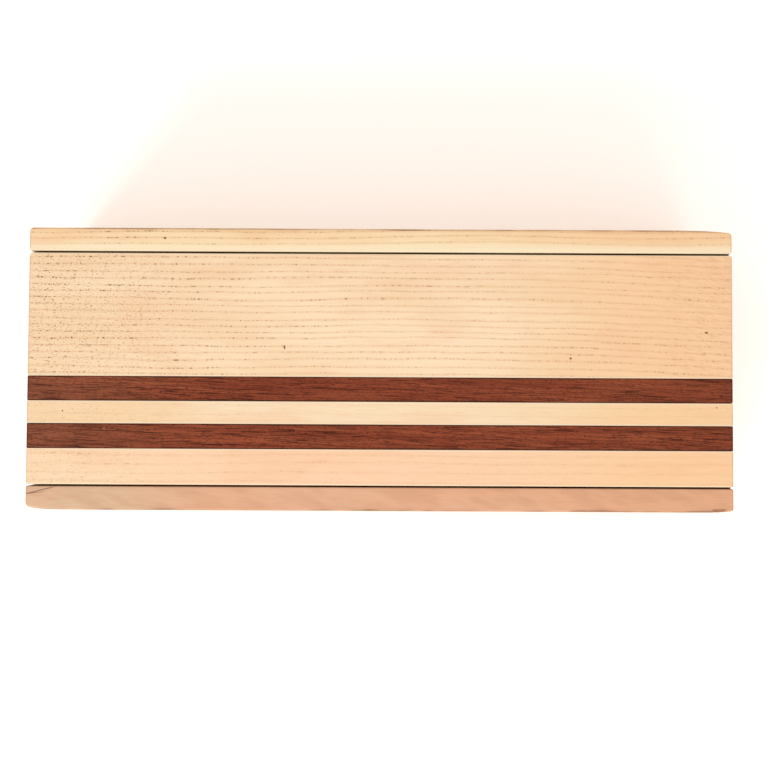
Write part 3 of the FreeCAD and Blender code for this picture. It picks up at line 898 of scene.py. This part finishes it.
wide_maple = maple(
    "lid_wide_maple",
    light=tone(255, 226, 188),
    warm=tone(250, 214, 172),
    sun=tone(253, 206, 158),
    rows=1.0,
    band=0.16,
    line=0.34,
    speckle=0.75,
    bend=5.0,
    ripple=0.4,
    sunned=0.85,
    # Painted highlight along the lid's back edge.
    bleach=(lid_edge, 0.7),
    specks=((-38.0, 8.6, 0.4, 0.95), (75.6, 4.7, 0.55, 0.45), (129.6, 15.2, 0.75, 0.45)),
    # A pale highlight is painted beside each glue line.
    seams=seams[3:],
)
joined_board(
    "lid_wide_maple",
    (TIGHT, EASED, EASED, TIGHT),
    wide_maple,
    worn=((-1, 1, 2.6, 1.0), (1, 1, 0.9, 1.0)),
)
slim_maple = maple(
    "lid_middle_maple",
    light=tone(251, 224, 186),
    warm=tone(249, 212, 168),
    sun=tone(252, 206, 152),
    pith=(160, -60),
    rows=0.22,
    band=0.04,
    line=0.1,
    speckle=0.25,
    specks=((-125.8, -17.0, 0.35, 0.35), (133.5, -14.6, 0.3, 0.3)),
    seams=seams[1:3],
)
joined_board("lid_middle_maple", (TIGHT,) * 4, slim_maple)
last_maple = maple(
    "lid_front_maple",
    light=tone(254, 211, 172),
    warm=tone(254, 204, 164),
    sun=tone(254, 208, 154),
    left=tone(252, 222, 182),
    pith=(170, -60),
    spacing=3.2,
    rows=0.25,
    band=0.08,
    line=0.12,
    speckle=0.25,
    seams=seams[:1],
    # Painted highlight along the lid's front edge.
    bleach=(-lid_edge, 0.9),
)
joined_board(
    "lid_front_maple",
    (EASED, TIGHT, TIGHT, EASED),
    last_maple,
    chips=(((box_end, -lid_edge + 0.3, box_top), (0.6, 0.6, 0.6)),),
)
front_strip = walnut("lid_front_walnut", seams=seams[:2], specks=((-109.3, -23.9, 0.6),))
joined_board("lid_front_walnut", (TIGHT,) * 4, front_strip)
back_strip = walnut("lid_back_walnut", seams=seams[2:])
joined_board(
    "lid_back_walnut",
    (TIGHT,) * 4,
    back_strip,
    chips=(((box_end, seams[2] + 0.2, box_top), (0.5, 0.6, 0.6)),),
)
print("Glue lines at", [round(seam, 1) for seam in seams], "mm")

# %% [markdown]
# ## Runners and key
# Two slim walnut rails are let into the lid's edges and slide in the walls. The key is a third piece of
# the same stock, standing in the top of the end board. Rails that slide are rubbed round along their
# free edges and stay sharp where they are glued in.

# %% Runners and key
RUBBED = 0.5
for node, radii in (
    ("lid_back_runner", (TIGHT, RUBBED, RUBBED, TIGHT)),
    ("lid_front_runner", (RUBBED, TIGHT, TIGHT, RUBBED)),
):
    joined_board(node, radii, walnut(node + "_walnut", node), end_ease=RUBBED)
key_walnut = walnut("panel_key_walnut", "panel_key", grain_axis=1)
joined_board("panel_key", (TIGHT, TIGHT, 0.7, 0.7), key_walnut, end_ease=0.6, grain_axis=1)
print("Rails are rubbed to", RUBBED, "mm")

# %% [markdown]
# ## The boards inside
# End walls, drawer front, drawer sides and back are maple offcuts, plainer than the lid. The base, the
# false floor and the drawer's bottom are thin plywood. Plywood is a stack: on a face it looks like
# rotary-cut birch, with broad wavy figure, and on an edge it shows pale and dark layers. One recipe
# gives both, because the layers are bands in height.

# %% End walls, drawer and plywood


def plywood(name, node, layers):
    """Birch plywood of a few layers."""
    finish = Finish(name, own_number(name, 83, 1.9))
    low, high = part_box(node)
    point = finish.place()
    wave = finish.grain(point, (60, 9, 9), detail=3)
    figure = finish.maths("SINE", finish.times(wave, 46.0))
    fibre = finish.grain(point, (9, 0.6, 0.6), seed=5)
    wavy = finish.step(figure, -1.0, 1.0, 0, 0.7)
    finish.colour = finish.mix(wavy, tone(238, 212, 172), tone(222, 188, 144))
    finish.coat(finish.step(fibre, 0.5, 0.74, 0, 0.3), tone(190, 148, 104))
    thickness = (high[2] - low[2]) / MM
    rise = finish.times(finish.less(point[2], low[2] / MM), layers / thickness)
    layer = finish.maths("FRACT", finish.times(rise, 0.5))
    upright = finish.fade(finish.facing()[2], 0.4, 0.7)
    dark_layer = finish.times(upright, finish.step(layer, 0.47, 0.53), 0.55)
    finish.coat(dark_layer, tone(168, 120, 78))
    glue = finish.times(upright, finish.fade(finish.size(finish.less(layer, 0.5)), 0.01, 0.05, 0.5))
    finish.coat(glue, tone(110, 72, 44))
    finish.bump(finish.add(fibre, finish.times(layer, 0.4)), 0.06, 0.5)
    return finish.surface(finish.step(fibre, 0.2, 0.8, 0.5, 0.64), Specular_IOR_Level=0.25)


PLAIN = dict(light=tone(244, 214, 172), warm=tone(238, 200, 154), rows=0.4, pith=(-200, -60))
for node, radii, axis in (
    ("left_end_wall", (0.3, 0.3, 0.5, 0.3), 1),
    ("right_end_wall", (0.3, 0.4, 0.5, 0.5), 1),
    ("drawer_front", (0.3, 0.6, 0.5, 0.3), 1),
    ("drawer_stop", (0.4, 0.3, 0.3, 0.4), 1),
    ("drawer_back", (0.3, 0.3, 0.6, 0.6), 1),
    ("drawer_left_side", (0.3, 0.3, 0.6, 0.6), 0),
    ("drawer_right_side", (0.3, 0.3, 0.6, 0.6), 0),
):
    offcut = maple(node + "_maple", node, grain_axis=axis, spacing=2.4, **PLAIN)
    joined_board(node, radii, offcut, end_ease=0.25, grain_axis=axis)
for node, layers in (("base_board", 5), ("false_floor", 3), ("drawer_bottom", 3)):
    joined_board(node, (0.15,) * 4, plywood(node + "_plywood", node, layers), end_ease=0.15)
print("Seven maple offcuts and three sheets of plywood")

# %% [markdown]
# ## The loose end board
# This board is not a plain slab: ribs on its two ends run up and down in the walls, and slots in its
# inner face ride on the stop pins. Its shape is all joinery, so it starts from the engineering solid
# itself, and a narrow bevel breaks its edges the way one pass of a sanding block does.

# %% Ease the loose end board
BLOCK_EASE = 0.35 * MM
panel = welded_copy("key_panel")
panel.name = "key_panel_board"
bevel = panel.modifiers.new("eased edges", "BEVEL")
bevel.width = BLOCK_EASE
bevel.segments = 3
bevel.limit_method = "ANGLE"
bevel.angle_limit = math.radians(60)
bevel.use_clamp_overlap = True
bake_modifiers(panel)
sand(panel)
panel_maple = maple("key_panel_maple", "key_panel", grain_axis=1, spacing=2.4, **PLAIN)
fit(panel, "key_panel", panel_maple)
print("The end board has", len(panel.data.polygons), "faces")

# %% [markdown]
# ## Pins, dowels and magnets
# All the round pieces are turned on a lathe in code: a short profile of radii goes round an axis. A peg
# of walnut was cut off and sanded nearly flush, so its end is slightly domed. Steel and brass pins have
# broken edges, and magnets are plated and brighter on the rim. Where one node holds several pieces, the
# places are read from the separate islands of its mesh.

# %% A lathe, and where the round pieces go
TURN_STEPS = 40


def islands(node):
    """The low and high corner of each separate solid in a node."""
    mesh = welded_mesh(node)
    left = set(mesh.verts)
    boxes = []
    while left:
        wave = [left.pop()]
        found = []
        while wave:
            vertex = wave.pop()
            found.append(vertex.co.copy())
            for edge in vertex.link_edges:
                other = edge.other_vert(vertex)
                if other in left:
                    left.remove(other)
                    wave.append(other)
        boxes.append([Vector(pick(co[axis] for co in found) for axis in range(3)) for pick in (min, max)])
    mesh.free()
    return sorted(boxes, key=lambda box: tuple(round(value, 5) for value in box[0]))


def turned(mesh, low, high, axis, ease, dome=0.0):
    """Adds a turned rod that fills the box from low to high, with eased rims and domed ends."""
    low = low + Vector((SKIN,) * 3)
    high = high - Vector((SKIN,) * 3)
    centre = (low + high) / 2
    across = [other for other in range(3) if other != axis]
    radius = (high[across[0]] - low[across[0]]) / 2
    ease, dome = ease * MM, dome * MM
    length = high[axis] - low[axis]
    profile = [(0.0, radius * 0.35), (dome * 0.25, radius * 0.6), (dome, radius - ease)]
    profile += [
        (dome + ease * (1 - math.cos(angle)), radius - ease * (1 - math.sin(angle)))
        for angle in np.linspace(math.pi / 8, math.pi / 2, 4)
    ]
    profile += [(length - away, reach) for away, reach in reversed(profile)]
    rings = []
    for away, reach in profile:
        ring = []
        for number in range(TURN_STEPS):
            angle = 2 * math.pi * number / TURN_STEPS
            spot = centre.copy()
            spot[axis] = low[axis] + away
            spot[across[0]] += reach * math.cos(angle)
            spot[across[1]] += reach * math.sin(angle)
            ring.append(mesh.verts.new(spot))
        rings.append(ring)
    skin(mesh, rings)


def turned_node(node, axis, ease, material, dome=0.0):
    """Every solid of a node, turned as one piece."""
    mesh = bmesh.new()
    places = islands(node)
    for low, high in places:
        turned(mesh, low, high, axis, ease, dome)
    piece = object_from(mesh, node + "_turned")
    sand(piece, sharp=50)
    fit(piece, node, material)
    print(node, "has", len(places), "solid(s)")
    return piece


# %% [markdown]
# ## Metal finishes
# Drawn steel and brass carry fine lines along their length, and they are never evenly clean. Nickel
# plate is smoother, with faint turning marks across its face. A metal's colour is its reflection, so
# the streaks go into the roughness and the tint together.

# %% Recipes for metal, then turn the round pieces


def drawn_metal(name, bright, dull, lengths, rough):
    """Bare metal. lengths stretch its marks along each axis, and rough is its roughness range."""
    finish = Finish(name)
    point = finish.place()
    line = finish.grain(point, lengths, detail=3)
    haze = finish.grain(point, (5, 5, 5), detail=3, seed=4.0)
    finish.colour = finish.mix(finish.step(finish.add(line, haze), 0.7, 1.3), bright, dull)
    finish.bump(line, 0.01, 0.4)
    share = finish.times(finish.add(line, haze), 0.5)
    return finish.surface(finish.step(share, 0.3, 0.7, *rough), Metallic=1.0)


steel = drawn_metal("drawn_steel", tone(205, 207, 210), tone(150, 152, 156), (0.3, 14, 0.3), (0.2, 0.4))
brass = drawn_metal("drawn_brass", tone(222, 184, 106), tone(172, 130, 66), (14, 0.3, 0.3), (0.22, 0.42))
nickel = drawn_metal("nickel_plate", tone(214, 212, 206), tone(176, 174, 168), (3, 0.4, 0.4), (0.12, 0.3))

for node in ("front_dowels", "back_dowels"):
    turned_node(node, 1, 0.25, walnut(node + "_walnut", node, grain_axis=1), dome=0.08)
turned_node("tilt_pin", 1, 0.4, steel)
turned_node("panel_stop_pins", 0, 0.3, brass)
for node in ("wall_magnets", "panel_magnets", "drawer_magnet", "stop_magnet"):
    turned_node(node, 0, 0.25, nickel)

# %% [markdown]
# ## The felt
# A sheet of green felt lies on the false floor. Felt is a mat of loose fibres, a bit over a millimetre
# thick, so it never lies as flat as a board: its top rises and falls by a hair, and its cut edge
# is soft. It is modelled as a thin closed mat on a grid, pressed flat underneath and nudged by noise on
# top. The finish tangles two noises and adds a little sheen for the fuzz.

# %% Lay the felt
FELT_GRID = 3.0
FELT_HAIR = 0.12
FELT_RIM_DROP = 0.35
FELT_WAVE = 9.0


def felt_mat(node):
    """A closed mat whose top wanders by up to FELT_HAIR, and whose rim is rounded down."""
    low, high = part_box(node)
    low, high = low + Vector((SKIN,) * 3), high - Vector((SKIN,) * 3)
    sides = [high[axis] - low[axis] for axis in range(2)]
    counts = [max(2, round(side / (FELT_GRID * MM))) for side in sides]
    mesh = bmesh.new()
    layers = []
    for top in (False, True):
        layer = []
        for i in range(counts[0] + 1):
            column = []
            for j in range(counts[1] + 1):
                x = low[0] + sides[0] * i / counts[0]
                y = low[1] + sides[1] * j / counts[1]
                z = low[2]
                if top:
                    hair = 0.5 + 0.5 * noise.noise(Vector((x, y, 0)) / (FELT_WAVE * MM))
                    on_rim = i in (0, counts[0]) or j in (0, counts[1])
                    z = high[2] - (hair * FELT_HAIR + on_rim * FELT_RIM_DROP) * MM
                column.append(mesh.verts.new((x, y, z)))
            layer.append(column)
        layers.append(layer)
    for layer in layers:
        for i in range(counts[0]):
            for j in range(counts[1]):
                mesh.faces.new((layer[i][j], layer[i + 1][j], layer[i + 1][j + 1], layer[i][j + 1]))
    around = [(i, 0) for i in range(counts[0])] + [(counts[0], j) for j in range(counts[1])]
    around += [(i, counts[1]) for i in range(counts[0], 0, -1)] + [(0, j) for j in range(counts[1], 0, -1)]
    for (i, j), (k, m) in zip(around, around[1:] + around[:1]):
        mesh.faces.new((layers[0][i][j], layers[0][k][m], layers[1][k][m], layers[1][i][j]))
    mat = object_from(mesh, "felt_mat")
    for face in mat.data.polygons:
        face.use_smooth = True
    return mat, tuple(sides)


def felt_finish():
    finish = Finish("green_felt")
    point = finish.place()
    tangle = finish.grain(point, (0.4, 0.4, 0.4), detail=4, roughness=0.75)
    strands = finish.grain(point, (1.3, 0.6, 0.6), detail=4, roughness=0.7, seed=6.0)
    cloud = finish.grain(point, (26, 26, 26), seed=2.0)
    finish.colour = finish.mix(finish.step(tangle, 0.3, 0.7), tone(24, 66, 46), tone(48, 100, 72))
    finish.coat(finish.step(strands, 0.54, 0.7, 0, 0.4), tone(88, 134, 104))
    finish.coat(finish.step(cloud, 0.4, 0.7, 0, 0.25), tone(30, 74, 54))
    finish.bump(finish.add(tangle, strands), 0.15, 0.5)
    return finish.surface(0.95, Specular_IOR_Level=0.1, Sheen_Weight=0.4, Sheen_Roughness=0.5)


felt, felt_cut = felt_mat("felt_lining")
fit(felt, "felt_lining", felt_finish())
print("The felt is cut to", [round(side / MM, 1) for side in felt_cut], "mm")
